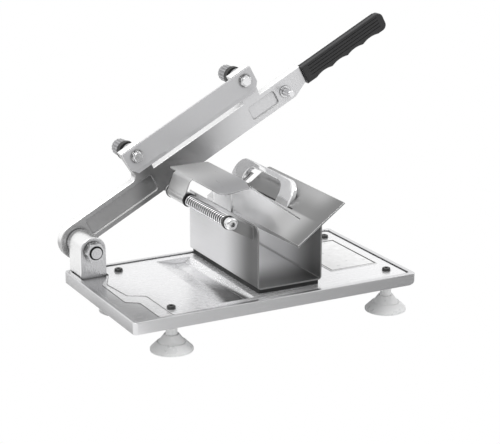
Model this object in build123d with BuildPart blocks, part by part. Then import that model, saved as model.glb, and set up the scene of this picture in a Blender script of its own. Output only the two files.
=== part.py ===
"""A hand slicer for frozen meat: a tray base on four suction feet, a hinged arm that carries
an adjustable blade behind the base, an open trough and a spring fed press with its handle.

Millimetres. X runs along the base, from the hinge to the handle side, Y runs back to the
blade, Z is up. The origin lies on the table under the middle of the base.
"""
from build123d import *
from math import cos, pi, radians, sin, sqrt
import os

# Fits and overruns
cut_overrun = 2.0
running_fit = 0.05
seat_fit = 0.02
thread_fit = 0.05
loose_fit = 0.4
side_play = 0.1
seat_gap = 0.3

# Base pan
base_length = 334.0
base_width = 186.0
base_height = 46.0
skirt_height = 13.0
skirt_end_radius = 9.0
pan_sheet = 1.2
rim_width = 5.0
rim_rise = 2.4
pan_corner_radius = 4.0
pan_edge_radius = 1.0
hang_hole_radius = 1.5
hang_hole_inset = 3.0

# Raised panel with the drip well
panel_sheet = 1.2
panel_edge_bevel = 0.5
panel_flange = 0.5
panel_gap_to_rim = 1.5
panel_gap_to_bracket = 1.5
panel_corner_radius = 5.0
wave_back_y = 60.0
wave_shoulder_in = 24.0
wave_shoulder_y = 32.0
wave_dip_in = 28.5
wave_dip_y = -10.0
wave_hump_in = 46.0
wave_hump_y = -20.0
wave_front_in = 46.5
flange_shoulder_in = 20.0
flange_shoulder_y = 36.0
flange_dip_in = 19.5
flange_dip_y = -26.0
flange_hump_in = 32.3
flange_hump_y = -35.0
flange_front_in = 32.6
wave_radius = 7.0
well_left = -65.0
well_right = -23.0
well_front_in = 16.0
well_back_in = 17.0
well_depth = 6.0
well_floor_left = -42.0
well_steep_run = 5.0

# Feet and their screws
foot_left_in = 53.0
foot_right_in = 22.0
foot_side_in = 26.0
cup_radius = 22.5
cup_rim_height = 2.0
cup_step_radius = 15.5
cup_step_height = 9.0
cup_ledge = 1.6
cup_shoulder_radius = 8.2
cup_height = 17.0
cup_hollow_radius = 19.5
cup_hollow_depth = 5.0
stem_radius = 6.0
foot_screw_radius = 3.0
foot_screw_length = 22.0
foot_head_radius = 4.6
foot_head_height = 3.2
foot_head_dome = 1.4
foot_socket_across = 3.6
foot_socket_depth = 1.8
foot_thread_spare = 2.0

# Hinge bracket and its screws
axis_in = 21.5
axis_rise = 28.0
bracket_width = 30.0
bracket_depth = 31.0
bracket_back_in = 1.0
bracket_edge_radius = 1.2
bracket_screw_spacing = 14.0
bracket_screw_radius = 2.5
bracket_screw_head_radius = 4.4
bracket_screw_head = 2.6
bracket_screw_reach = 13.0

# Pivot
pivot_radius = 6.0
pivot_head_across = 19.0
pivot_head_height = 6.8
pivot_head_ring_radius = 10.6
pivot_head_ring = 1.6
pivot_head_boss_radius = 6.4
pivot_head_boss = 1.6
spacer_radius = 14.5
bush_radius = 8.5
bush_flange_radius = 11.5
bush_flange = 1.5
pivot_washer_radius = 12.0
pivot_washer_sheet = 1.6
pivot_nut_across = 19.0
pivot_nut_height = 10.0
pivot_end = 3.0
pivot_end_chamfer = 1.0

# Arm, in its own frame: s along the arm from the pivot, t square to it and up
rest_angle = 28.0
arm_stand_off = 9.0
arm_thickness = 10.0
arm_eye_radius = 21.0
arm_low = 10.0
arm_high_left = 21.0
arm_high_middle = 20.3
arm_high_right = 19.0
arm_neck_s = 302.0
tang_start_s = 321.0
tang_end_s = 437.0
tang_low = -1.5
tang_thickness = 6.0
tang_end_radius = 7.0
ear_left_s = 88.5
ear_right_s = 266.5
ear_width = 25.5
ear_foot_in = 3.0
ear_foot_radius = 6.0
slot_radius = 2.5
arm_edge_bevel = 0.6
window_depth = 2.6
window_radius = 4.0
window_low = -4.6
window_high = 16.0
window_left_start_s = 17.0
window_left_end_s = 107.5
window_right_start_s = 243.0
window_right_end_s = 280.5
window_right_high = 13.6

# Blade, its bolts and lock nuts
blade_low = 26.3
blade_high = 56.3
blade_sheet = 2.0
blade_corner_s = 7.5
blade_corner_t = 9.7
blade_bevel = 5.0
blade_edge_land = 0.4
blade_rest_gap = 2.0
bolt_left_s = 102.5
bolt_right_s = 253.5
bolt_t = 45.5
bolt_radius = 3.0
bolt_reach = 34.0
bolt_washer_radius = 7.3
bolt_washer_sheet = 0.8
bolt_head_across = 12.0
bolt_head_height = 3.4
bolt_dome_radius = 5.2
bolt_dome_height = 1.3
lock_nut_across = 10.0
lock_nut_height = 2.8
lock_nut_pocket_radius = 6.6
lock_nut_pocket_depth = 5.2

# Adjusting knobs
knob_neck_radius = 5.0
knob_neck_out = 1.9
knob_collar_radius = 11.0
knob_collar = 2.7
knob_sleeve_radius = 8.0
knob_sleeve = 6.0
knob_ring_radius = 11.0
knob_ring_width = 7.0
knob_grip_radius = 9.5
knob_grip_length = 19.0
knob_flutes = 16
knob_flute_radius = 1.1
knob_end_radius = 2.0
knob_bore_depth = 36.0
clip_radius = 6.1
clip_sheet = 0.9
clip_play = 0.2
clip_groove_depth = 0.8
clip_gap = 3.0

# Handle grip
grip_front_thickness = 8.0
grip_back_thickness = 5.0
grip_low = -4.0
grip_high = 18.2
grip_end_s = 440.0
grip_end_radius = 7.0
grip_back_inset = 2.6
grip_wave_first_s = 334.0
grip_wave_spacing = 23.0
grip_waves = 4
grip_wave_depth = 2.2
grip_wave_radius = 3.0
grip_edge_radius = 1.6
grip_grooves = 4
grip_groove_width = 1.1
grip_groove_depth = 0.7
grip_groove_spacing = 3.9
grip_groove_t = 9.3
grip_groove_first_s = 329.0
grip_groove_last_s = 432.0
grip_screw_radius = 2.0
grip_screw_head_radius = 3.6
grip_screw_head = 2.0
grip_screw_first_s = 345.0
grip_screw_last_s = 415.0
grip_screw_t = 9.3
grip_screw_reach = 4.5

# Stop pin
stop_s = 292.0
stop_t = 4.0
stop_radius = 4.0
stop_length = 16.5
stop_collar_radius = 6.4
stop_collar = 1.6
stop_shank_radius = 2.5
stop_shank_length = 8.0
stop_end_chamfer = 1.0

# Trough and the pad that it stands on
trough_left = -16.6
trough_width = 76.6
trough_front_in = 20.5
trough_back_gap = 12.0
trough_height = 68.6
trough_sheet = 1.5
trough_bend_radius = 4.0
trough_top_radius = 9.0
pad_thickness = 4.8
pad_inset = 2.6
pad_stud_spacing_x = 48.0
pad_stud_spacing_y = 110.0
pad_stud_radius = 2.5
pad_stud_end = 1.5
pad_nut_across = 8.0
pad_nut_height = 3.6

# Guide rod and spring
rod_x = -45.6
rod_z = 125.3
rod_radius = 4.0
rod_ear_sheet = 3.0
rod_ear_radius = 6.4
rod_ear_root_drop = 14.0
rod_ear_root_top = 2.5
rod_ear_front_in = 13.7
rod_washer_radius = 7.3
rod_washer_sheet = 2.2
rod_nut_radius = 6.7
rod_nut_length = 8.6
rod_nut_edge_radius = 3.2
rod_nut_socket_across = 5.0
rod_nut_socket_depth = 3.0
rod_nut_bore_depth = 4.4
rod_back_nut_across = 12.0
rod_back_nut_height = 4.0
spring_wire = 1.7
spring_radius = 5.6
spring_turns = 19

# Slide bushes in the sleeve of the press
slide_radius = 5.6
slide_flange_radius = 7.6
slide_flange = 1.8
slide_bush_length = 12.0
sleeve_back_in = 18.3
sleeve_length = 39.5

# Press hood: sizes from the rod's centre, and ahead of the back end of its sleeve
press_sheet = 1.5
hood_rise = 23.0
hood_shoulder_out = 1.5
hood_shoulder_rise = 20.0
hood_reach_left = 4.5
hood_reach_right = 46.5
hood_overhang = 4.5
hood_web_drop = 20.5
hood_front_ahead = 111.7
hood_nose_ahead = 99.7
hood_nose_in = 9.0
hood_side_front_ahead = 73.7
hood_back_behind = 17.0
hood_web_front_ahead = 50.7
hood_web_back_ahead = 8.7
hood_front_radius = 8.0
hood_corner_radius = 2.0
hood_bend_radius = 2.5

# Press plate: w runs up its slope from the left edge
plate_angle = 35.7
plate_width = 65.5
plate_drop = 13.8
plate_front_ahead = 197.5
plate_back_ahead = 35.1
plate_notch_w = 36.0
plate_notch = 12.0
plate_tongue_w = 50.0
plate_tongue = 44.5
plate_corner_radius = 5.0
plate_notch_radius = 4.0
lip_back_depth = 9.0
lip_front_depth = 2.0
slit_width = 1.3
slit_back_w = 33.2
slit_back_ahead = 42.7
slit_front_w = 26.5
slit_front_ahead = 161.9

# Strap handle on the press plate
handle_w = 38.0
handle_lean = 28.0
handle_front_ahead = 127.0
handle_length = 133.0
handle_height = 22.5
handle_width = 6.0
handle_bar = 6.5
handle_foot = 27.0
handle_corner_radius = 20.0
handle_inner_radius = 12.0
handle_edge_radius = 1.5
handle_screw_radius = 1.5
handle_screw_w = 41.5
handle_screw_head_radius = 3.2
handle_screw_head = 1.6
handle_screw_reach = 3.5

# Label plate, left bare
label_right_in = 18.0
label_length = 59.0
label_front = -42.5
label_back = 53.5
label_sheet = 0.6
label_border = 1.4
label_border_depth = 0.25
label_corner_radius = 2.0

# Heights and places that follow from the sizes above
base_left = -base_length / 2
base_right = base_length / 2
base_back = base_width / 2
well_front = well_front_in - base_back
well_back = base_back - well_back_in
trough_front = trough_front_in - base_back
axis_x = base_left + axis_in
axis_z = base_height + axis_rise
foot_left_x = base_left + foot_left_in
foot_right_x = base_right - foot_right_in
foot_y = base_back - foot_side_in
label_right = base_right - label_right_in
label_left = label_right - label_length
floor_z = base_height - rim_rise
pan_under_z = floor_z - pan_sheet
skirt_low_z = base_height - skirt_height
panel_top_z = floor_z + panel_sheet
field_length = base_length - 2 * rim_width
field_width = base_width - 2 * rim_width
foot_places = [
    (foot_left_x, -foot_y),
    (foot_right_x, -foot_y),
    (foot_left_x, foot_y),
    (foot_right_x, foot_y),
]
foot_names = ["front_left", "front_right", "back_left", "back_right"]
bracket_back = base_back - bracket_back_in
bracket_front = bracket_back - bracket_depth
bracket_mid_y = (bracket_front + bracket_back) / 2
arm_face_y = bracket_back + arm_stand_off
trough_back = arm_face_y - trough_back_gap
trough_low_z = panel_top_z + pad_thickness
trough_floor_z = trough_low_z + trough_sheet
trough_top_z = trough_low_z + trough_height
trough_mid_x = trough_left + trough_width / 2
trough_mid_y = (trough_front + trough_back) / 2
rod_ear_front_y = trough_front + rod_ear_front_in
arm_back_y = arm_face_y + arm_thickness
tang_face_y = arm_back_y - tang_thickness
blade_back_y = arm_face_y - blade_rest_gap
blade_front_y = blade_back_y - blade_sheet
sleeve_back_y = trough_back - sleeve_back_in
sleeve_front_y = sleeve_back_y - sleeve_length
hood_front_y = sleeve_back_y - hood_front_ahead
hood_nose_y = sleeve_back_y - hood_nose_ahead
hood_side_front_y = sleeve_back_y - hood_side_front_ahead
hood_back_y = sleeve_back_y + hood_back_behind
hood_web_front_y = sleeve_back_y - hood_web_front_ahead
hood_web_back_y = sleeve_back_y - hood_web_back_ahead
plate_front_y = sleeve_back_y - plate_front_ahead
plate_back_y = sleeve_back_y - plate_back_ahead
slit_back_y = sleeve_back_y - slit_back_ahead
slit_front_y = sleeve_back_y - slit_front_ahead
handle_front_y = sleeve_back_y - handle_front_ahead
rod_ear_back_y = sleeve_back_y + slide_flange + seat_gap


def front_plane(y):
    """Square to Y: local x is X, local y is Z, facing the front."""
    return Plane(origin=(0, y, 0), x_dir=(1, 0, 0), z_dir=(0, -1, 0))


def spot_plane(x, y, z):
    """A front plane centred on a point."""
    return Plane(origin=(x, y, z), x_dir=(1, 0, 0), z_dir=(0, -1, 0))


def side_plane(x):
    """Square to X: local x is Y, local y is Z, facing the handle side."""
    return Plane(origin=(x, 0, 0), x_dir=(0, 1, 0), z_dir=(1, 0, 0))


def turned_plane(x, z):
    """A plane through an axis along Y: local x is Y, local y is the radius."""
    return Plane(origin=(x, 0, z), x_dir=(0, 1, 0), z_dir=(0, 0, 1))


def turned_axis(x, z):
    """The axis along Y of a turned piece."""
    return Axis((x, 0, z), (0, 1, 0))


arm_direction = (cos(radians(rest_angle)), 0, sin(radians(rest_angle)))


def arm_point(s, t):
    """Where a point of the arm lies at rest, as x and z."""
    turn = radians(rest_angle)
    return (axis_x + s * cos(turn) - t * sin(turn), axis_z + s * sin(turn) + t * cos(turn))


def arm_plane(y, s=0, t=0):
    """The arm's own plane at rest, facing the front, from the pivot or from a point (s, t)."""
    x, z = arm_point(s, t)
    return Plane(origin=(x, y, z), x_dir=arm_direction, z_dir=(0, -1, 0))


def save(builder, name):
    """Label a finished piece and write it."""
    builder.part.label = name
    export_step(builder.part, os.path.join("parts", name + ".step"))


os.makedirs("parts", exist_ok=True)

# Base pan: a tray turned over, with a raised rim, open below
well_clear = panel_sheet + loose_fit
pan_inner_length = base_length - 2 * pan_sheet
pan_inner_width = base_width - 2 * pan_sheet
with BuildPart() as base_pan:
    with BuildSketch(Plane.XY.offset(skirt_low_z)):
        RectangleRounded(base_length, base_width, pan_corner_radius)
    extrude(amount=skirt_height)
    fillet(base_pan.faces().sort_by(Axis.Z)[-1].edges(), pan_edge_radius)
    with BuildSketch(Plane.XY.offset(base_height)):
        RectangleRounded(field_length, field_width, pan_corner_radius)
    extrude(amount=-rim_rise, mode=Mode.SUBTRACT)
    with BuildSketch(Plane.XY.offset(skirt_low_z)):
        RectangleRounded(pan_inner_length, pan_inner_width, pan_corner_radius - pan_sheet)
    extrude(amount=pan_under_z - skirt_low_z, mode=Mode.SUBTRACT)
    with BuildSketch(Plane.XY.offset(pan_under_z)):
        RectangleRounded(pan_inner_length, pan_inner_width, pan_corner_radius - pan_sheet)
        RectangleRounded(
            field_length + 2 * pan_sheet, field_width + 2 * pan_sheet,
            pan_corner_radius, mode=Mode.SUBTRACT)
    extrude(amount=rim_rise, mode=Mode.SUBTRACT)
    with BuildSketch(Plane.XY.offset(floor_z)):
        with Locations(*foot_places):
            Circle(foot_screw_radius + loose_fit)
        with Locations(((well_left + well_right) / 2, (well_front + well_back) / 2)):
            Rectangle(
                well_right - well_left + 2 * well_clear,
                well_back - well_front + 2 * well_clear)
        with Locations((trough_mid_x, trough_mid_y)):
            with GridLocations(pad_stud_spacing_x, pad_stud_spacing_y, 2, 2):
                Circle(pad_stud_radius + loose_fit)
        with Locations((axis_x, bracket_mid_y)):
            with GridLocations(0, bracket_screw_spacing, 1, 2):
                Circle(bracket_screw_radius + loose_fit)
    extrude(amount=-pan_sheet, mode=Mode.SUBTRACT)
    with BuildSketch(Plane.XY.offset(base_height)):
        with Locations((hang_hole_inset - base_length / 2, hang_hole_inset - base_width / 2)):
            Circle(hang_hole_radius)
    extrude(amount=-rim_rise - pan_sheet, mode=Mode.SUBTRACT)
    # The lower corner of each long skirt is rounded off where it meets the right end
    skirt_end_side = skirt_end_radius + cut_overrun
    with BuildSketch(front_plane(base_back + cut_overrun)):
        with Locations((base_right + cut_overrun, skirt_low_z - cut_overrun)):
            Rectangle(skirt_end_side, skirt_end_side, align=(Align.MAX, Align.MIN))
        with Locations((base_right - skirt_end_radius, skirt_low_z + skirt_end_radius)):
            Circle(skirt_end_radius, mode=Mode.SUBTRACT)
    extrude(amount=base_width + 2 * cut_overrun, mode=Mode.SUBTRACT)
save(base_pan, "base_pan")

# Raised panel: a thin sheet with a wavy left edge, a lower flange along it and a drip well
panel_front = panel_gap_to_rim - field_width / 2
panel_back = field_width / 2 - panel_gap_to_rim
panel_right = field_length / 2 - panel_gap_to_rim
panel_back_left = axis_x + bracket_width / 2 + panel_gap_to_bracket
panel_sides = [
    (panel_right, panel_front),
    (panel_right, panel_back),
    (panel_back_left, panel_back),
    (panel_back_left, wave_back_y),
]
raised_wave = [
    (base_left + wave_shoulder_in, wave_shoulder_y),
    (base_left + wave_dip_in, wave_dip_y),
    (base_left + wave_hump_in, wave_hump_y),
    (base_left + wave_front_in, panel_front),
]
flange_wave = [
    (base_left + flange_shoulder_in, flange_shoulder_y),
    (base_left + flange_dip_in, flange_dip_y),
    (base_left + flange_hump_in, flange_hump_y),
    (base_left + flange_front_in, panel_front),
]
well_low_z = panel_top_z - well_depth
well_right_low = well_right - well_steep_run
with BuildPart() as top_panel:
    for wave, wave_height in ((flange_wave, panel_flange), (raised_wave, panel_sheet)):
        with BuildSketch(Plane.XY.offset(floor_z)) as panel_outline:
            with BuildLine():
                Polyline(*panel_sides, *wave, close=True)
            make_face()
            fillet(panel_outline.vertices().sort_by(Axis.X)[:6], wave_radius)
            fillet(panel_outline.vertices().group_by(Axis.X)[-1], panel_corner_radius)
        extrude(amount=wave_height)
    chamfer(top_panel.faces().sort_by(Axis.Z)[-1].edges(), panel_edge_bevel)
    with BuildSketch(Plane.XY.offset(panel_top_z)):
        with Locations(*foot_places):
            Circle(foot_screw_radius + loose_fit)
        with Locations((trough_mid_x, trough_mid_y)):
            with GridLocations(pad_stud_spacing_x, pad_stud_spacing_y, 2, 2):
                Circle(pad_stud_radius + loose_fit)
    extrude(amount=-panel_sheet, mode=Mode.SUBTRACT)
    with BuildSketch(front_plane(well_back + panel_sheet)):
        with BuildLine():
            Polyline(
                (well_left - panel_sheet, floor_z), (well_floor_left, well_low_z - panel_sheet),
                (well_right_low + panel_sheet, well_low_z - panel_sheet),
                (well_right + panel_sheet, floor_z), close=True)
        make_face()
    extrude(amount=well_back - well_front + 2 * panel_sheet)
    with BuildSketch(front_plane(well_back)):
        with BuildLine():
            Polyline(
                (well_left, panel_top_z), (well_floor_left, well_low_z),
                (well_right_low, well_low_z), (well_right, panel_top_z), close=True)
        make_face()
    extrude(amount=well_back - well_front, mode=Mode.SUBTRACT)
save(top_panel, "top_panel")

# Label plate: bare, with a sunk line along its border
with BuildPart() as label_plate:
    with BuildSketch(Plane.XY.offset(panel_top_z)):
        with Locations(((label_left + label_right) / 2, (label_front + label_back) / 2)):
            RectangleRounded(
                label_right - label_left, label_back - label_front, label_corner_radius)
    extrude(amount=label_sheet)
    with BuildSketch(Plane.XY.offset(panel_top_z + label_sheet)):
        with Locations(((label_left + label_right) / 2, (label_front + label_back) / 2)):
            RectangleRounded(
                label_right - label_left - 2 * label_border,
                label_back - label_front - 2 * label_border, label_corner_radius)
    extrude(amount=-label_border_depth, mode=Mode.SUBTRACT)
save(label_plate, "label_plate")

# Feet: stepped suction cups on stems, each with a threaded hole for its screw
foot_thread_low_z = panel_top_z - foot_screw_length - foot_thread_spare
for foot_name, (foot_x, foot_side) in zip(foot_names, foot_places):
    with BuildPart() as foot:
        with BuildSketch(spot_plane(foot_x, foot_side, 0)):
            with BuildLine():
                Polyline(
                    (0, cup_hollow_depth), (0, pan_under_z), (stem_radius, pan_under_z),
                    (stem_radius, cup_height), (cup_shoulder_radius, cup_height),
                    (cup_step_radius - cup_ledge, cup_step_height),
                    (cup_step_radius, cup_step_height), (cup_radius, cup_rim_height),
                    (cup_radius, 0), (cup_hollow_radius, 0))
                TangentArc(
                    (0, cup_hollow_depth), (cup_hollow_radius, 0), tangent=(1, 0))
            make_face()
        revolve(axis=Axis((foot_x, foot_side, 0), (0, 0, 1)))
        with BuildSketch(Plane(origin=(foot_x, foot_side, pan_under_z))):
            Circle(foot_screw_radius + thread_fit)
        extrude(amount=foot_thread_low_z - pan_under_z, mode=Mode.SUBTRACT)
    save(foot, "foot_" + foot_name)

# Foot screws: dark domed heads on the panel, down through the pan into the stems
with BuildPart() as foot_screws:
    with BuildSketch(Plane.XY.offset(panel_top_z)):
        with Locations(*foot_places):
            Circle(foot_screw_radius)
    extrude(amount=-foot_screw_length)
    with BuildSketch(Plane.XY.offset(panel_top_z)):
        with Locations(*foot_places):
            Circle(foot_head_radius)
    extrude(amount=foot_head_height)
    fillet(foot_screws.faces().group_by(Axis.Z)[-1].edges(), foot_head_dome)
    with BuildSketch(Plane.XY.offset(panel_top_z + foot_head_height)):
        with Locations(*foot_places):
            RegularPolygon(foot_socket_across / 2, 6, major_radius=False)
    extrude(amount=-foot_socket_depth, mode=Mode.SUBTRACT)
save(foot_screws, "foot_screws")

# Hinge bracket: a block with a round top, drilled for the pivot, threaded from below
with BuildPart() as hinge_bracket:
    with BuildSketch(front_plane(bracket_back)):
        with Locations((axis_x, axis_z)):
            Circle(bracket_width / 2)
        with Locations((axis_x, (floor_z + axis_z) / 2)):
            Rectangle(bracket_width, axis_z - floor_z)
    extrude(amount=bracket_back - bracket_front)
    fillet(hinge_bracket.faces().sort_by(Axis.Y)[0].edges().filter_by_position(
        Axis.Z, floor_z + bracket_edge_radius, axis_z + bracket_width), bracket_edge_radius)
    with BuildSketch(spot_plane(axis_x, bracket_back, axis_z)):
        Circle(pivot_radius + running_fit)
    extrude(amount=bracket_back - bracket_front, mode=Mode.SUBTRACT)
    with BuildSketch(Plane.XY.offset(floor_z)):
        with Locations((axis_x, bracket_mid_y)):
            with GridLocations(0, bracket_screw_spacing, 1, 2):
                Circle(bracket_screw_radius + thread_fit)
    extrude(amount=bracket_screw_reach, mode=Mode.SUBTRACT)
    with BuildSketch(Plane.XY.offset(floor_z)):
        with Locations((axis_x, base_back)):
            Rectangle(bracket_width + 2 * cut_overrun, 2 * (rim_width + loose_fit))
    extrude(amount=rim_rise + loose_fit, mode=Mode.SUBTRACT)
save(hinge_bracket, "hinge_bracket")

with BuildPart() as bracket_screws:
    with BuildSketch(Plane.XY.offset(pan_under_z)):
        with Locations((axis_x, bracket_mid_y)):
            with GridLocations(0, bracket_screw_spacing, 1, 2):
                Circle(bracket_screw_radius)
    extrude(amount=bracket_screw_reach)
    with BuildSketch(Plane.XY.offset(pan_under_z)):
        with Locations((axis_x, bracket_mid_y)):
            with GridLocations(0, bracket_screw_spacing, 1, 2):
                Circle(bracket_screw_head_radius)
    extrude(amount=-bracket_screw_head)
save(bracket_screws, "bracket_screws")

# Pivot: bolt, spacer, bush, washer and nut on one axis along Y
spacer_back_y = arm_face_y - bush_flange - side_play
washer_front_y = arm_back_y + side_play
nut_front_y = washer_front_y + pivot_washer_sheet
nut_back_y = nut_front_y + pivot_nut_height
with BuildPart() as pivot_bolt:
    with BuildSketch(spot_plane(axis_x, bracket_front, axis_z)):
        Circle(pivot_head_ring_radius)
    extrude(amount=pivot_head_ring)
    with BuildSketch(spot_plane(axis_x, bracket_front - pivot_head_ring, axis_z)):
        RegularPolygon(pivot_head_across / 2, 6, major_radius=False)
    extrude(amount=pivot_head_height)
    with BuildSketch(
            spot_plane(axis_x, bracket_front - pivot_head_ring - pivot_head_height, axis_z)):
        Circle(pivot_head_boss_radius)
    extrude(amount=pivot_head_boss)
    with BuildSketch(spot_plane(axis_x, nut_back_y + pivot_end, axis_z)):
        Circle(pivot_radius)
    extrude(amount=nut_back_y + pivot_end - bracket_front)
    chamfer(pivot_bolt.faces().sort_by(Axis.Y)[-1].edges(), pivot_end_chamfer)
save(pivot_bolt, "pivot_bolt")

with BuildPart() as pivot_spacer:
    with BuildSketch(spot_plane(axis_x, spacer_back_y, axis_z)):
        Circle(spacer_radius)
        Circle(pivot_radius + running_fit, mode=Mode.SUBTRACT)
    extrude(amount=spacer_back_y - bracket_back)
save(pivot_spacer, "pivot_spacer")

with BuildPart() as pivot_bush:
    with BuildSketch(spot_plane(axis_x, arm_back_y, axis_z)):
        Circle(bush_radius)
    extrude(amount=arm_thickness)
    with BuildSketch(spot_plane(axis_x, arm_face_y, axis_z)):
        Circle(bush_flange_radius)
    extrude(amount=bush_flange)
    with BuildSketch(spot_plane(axis_x, arm_back_y, axis_z)):
        Circle(pivot_radius + running_fit)
    extrude(amount=arm_thickness + bush_flange, mode=Mode.SUBTRACT)
save(pivot_bush, "pivot_bush")

with BuildPart() as pivot_washer:
    with BuildSketch(spot_plane(axis_x, nut_front_y, axis_z)):
        Circle(pivot_washer_radius)
        Circle(pivot_radius + running_fit, mode=Mode.SUBTRACT)
    extrude(amount=pivot_washer_sheet)
save(pivot_washer, "pivot_washer")

with BuildPart() as pivot_nut:
    with BuildSketch(spot_plane(axis_x, nut_back_y, axis_z)):
        RegularPolygon(pivot_nut_across / 2, 6, major_radius=False)
        Circle(pivot_radius + thread_fit, mode=Mode.SUBTRACT)
    extrude(amount=pivot_nut_height)
save(pivot_nut, "pivot_nut")

# Arm: one bar with an eye at the pivot, two ears behind the blade, a slot and a tang
ear_right_in_s = ear_right_s - ear_width
ear_left_in_s = ear_left_s + ear_width
tang_high = arm_high_right
bolt_spots = [(bolt_left_s, bolt_t), (bolt_right_s, bolt_t)]
grip_screw_spots = [(grip_screw_first_s, grip_screw_t), (grip_screw_last_s, grip_screw_t)]
pocket_floor_y = arm_face_y + lock_nut_pocket_depth
with BuildPart() as arm:
    with BuildSketch(arm_plane(arm_back_y)) as arm_outline:
        with BuildLine():
            Polyline(
                (0, -arm_low), (arm_neck_s, -arm_low), (tang_start_s, tang_low),
                (tang_start_s, arm_high_right), (ear_right_s - ear_foot_in, arm_high_right),
                (ear_right_s, blade_high), (ear_right_in_s, blade_high),
                (ear_right_in_s, arm_high_middle), (ear_left_in_s, arm_high_middle),
                (ear_left_in_s, blade_high), (ear_left_s, blade_high),
                (ear_left_s + ear_foot_in, arm_high_left), (0, arm_high_left), close=True)
        make_face()
        outline_corners = arm_outline.vertices()
        feet_of_ears = outline_corners.filter_by_position(
            Axis.X, ear_left_s + ear_foot_in, ear_right_s - ear_foot_in)
        slot_corners = feet_of_ears.filter_by_position(Axis.Y, arm_high_middle, arm_high_middle)
        fillet(feet_of_ears.sort_by(Axis.X)[0], ear_foot_radius)
        fillet(slot_corners, slot_radius)
        Circle(arm_eye_radius)
        Circle(bush_radius + seat_fit, mode=Mode.SUBTRACT)
    extrude(amount=arm_thickness)
    chamfer(arm.faces().filter_by(Axis.Y).sort_by(Axis.Y)[0].outer_wire().edges(), arm_edge_bevel)
    with BuildSketch(arm_plane(arm_back_y)) as tang_outline:
        with BuildLine():
            Polyline(
                (tang_start_s - arm_edge_bevel, tang_low), (tang_end_s, tang_low),
                (tang_end_s, tang_high), (tang_start_s - arm_edge_bevel, tang_high), close=True)
        make_face()
        fillet(tang_outline.vertices().group_by(Axis.X)[-1], tang_end_radius)
    extrude(amount=tang_thickness)
    with BuildSketch(arm_plane(arm_face_y), arm_plane(arm_back_y - window_depth)):
        for start_s, end_s, high in (
                (window_left_start_s, window_left_end_s, window_high),
                (window_right_start_s, window_right_end_s, window_right_high)):
            with Locations(((start_s + end_s) / 2, (window_low + high) / 2)):
                RectangleRounded(end_s - start_s, high - window_low, window_radius)
    extrude(amount=-window_depth, mode=Mode.SUBTRACT)
    with BuildSketch(arm_plane(arm_back_y)):
        with Locations(*bolt_spots):
            Circle(knob_neck_radius + running_fit)
        with Locations(*grip_screw_spots):
            Circle(grip_screw_radius + loose_fit)
    extrude(amount=arm_thickness, mode=Mode.SUBTRACT)
    with BuildSketch(arm_plane(arm_face_y)):
        with Locations(*bolt_spots):
            Circle(lock_nut_pocket_radius)
    extrude(amount=-lock_nut_pocket_depth, mode=Mode.SUBTRACT)
    with BuildSketch(arm_plane(arm_face_y)):
        with Locations((stop_s, stop_t)):
            Circle(stop_shank_radius + thread_fit)
    extrude(amount=-stop_shank_length, mode=Mode.SUBTRACT)
save(arm, "arm")

# Stop pin: screwed into the arm's face, it lands on the base's back rim
stop_x, stop_z = arm_point(stop_s, stop_t)
with BuildPart() as stop_pin:
    with BuildSketch(spot_plane(stop_x, arm_face_y + stop_shank_length, stop_z)):
        Circle(stop_shank_radius)
    extrude(amount=stop_shank_length)
    with BuildSketch(spot_plane(stop_x, arm_face_y, stop_z)):
        Circle(stop_collar_radius)
    extrude(amount=stop_collar)
    with BuildSketch(spot_plane(stop_x, arm_face_y, stop_z)):
        Circle(stop_radius)
    extrude(amount=stop_length)
    chamfer(stop_pin.faces().sort_by(Axis.Y)[0].edges(), stop_end_chamfer)
save(stop_pin, "stop_pin")

# Grip: two black scales on the tang, with finger waves and fine grooves
wave_chord_radius = ((grip_wave_spacing / 2) ** 2 + grip_wave_depth ** 2) / (2 * grip_wave_depth)
grip_back_low = tang_low + grip_back_inset / 2
grip_back_high = tang_high - grip_back_inset
with BuildPart() as grip_front:
    with BuildSketch(arm_plane(tang_face_y)) as grip_outline:
        with BuildLine():
            Polyline(
                (tang_start_s, grip_low), (grip_end_s, grip_low), (grip_end_s, grip_high),
                (tang_start_s, grip_high), close=True)
        make_face()
        fillet(grip_outline.vertices().group_by(Axis.X)[-1], grip_end_radius)
        for wave in range(grip_waves):
            wave_s = grip_wave_first_s + (wave + 1 / 2) * grip_wave_spacing
            with Locations((wave_s, grip_low + grip_wave_depth - wave_chord_radius)):
                Circle(wave_chord_radius, mode=Mode.SUBTRACT)
        wave_crests = grip_outline.vertices().filter_by_position(
            Axis.X, grip_wave_first_s, grip_wave_first_s + grip_waves * grip_wave_spacing)
        fillet(wave_crests, grip_wave_radius)
    extrude(amount=grip_front_thickness)
    fillet(grip_front.faces().sort_by(Axis.Y)[0].edges(), grip_edge_radius)
    with BuildSketch(arm_plane(tang_face_y - grip_front_thickness)):
        with Locations(((grip_groove_first_s + grip_groove_last_s) / 2, grip_groove_t)):
            with GridLocations(0, grip_groove_spacing, 1, grip_grooves):
                SlotOverall(grip_groove_last_s - grip_groove_first_s, grip_groove_width)
    extrude(amount=-grip_groove_depth, mode=Mode.SUBTRACT)
    with BuildSketch(arm_plane(tang_face_y)):
        with Locations(*grip_screw_spots):
            Circle(grip_screw_radius + thread_fit)
    extrude(amount=grip_screw_reach, mode=Mode.SUBTRACT)
save(grip_front, "grip_front")

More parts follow.
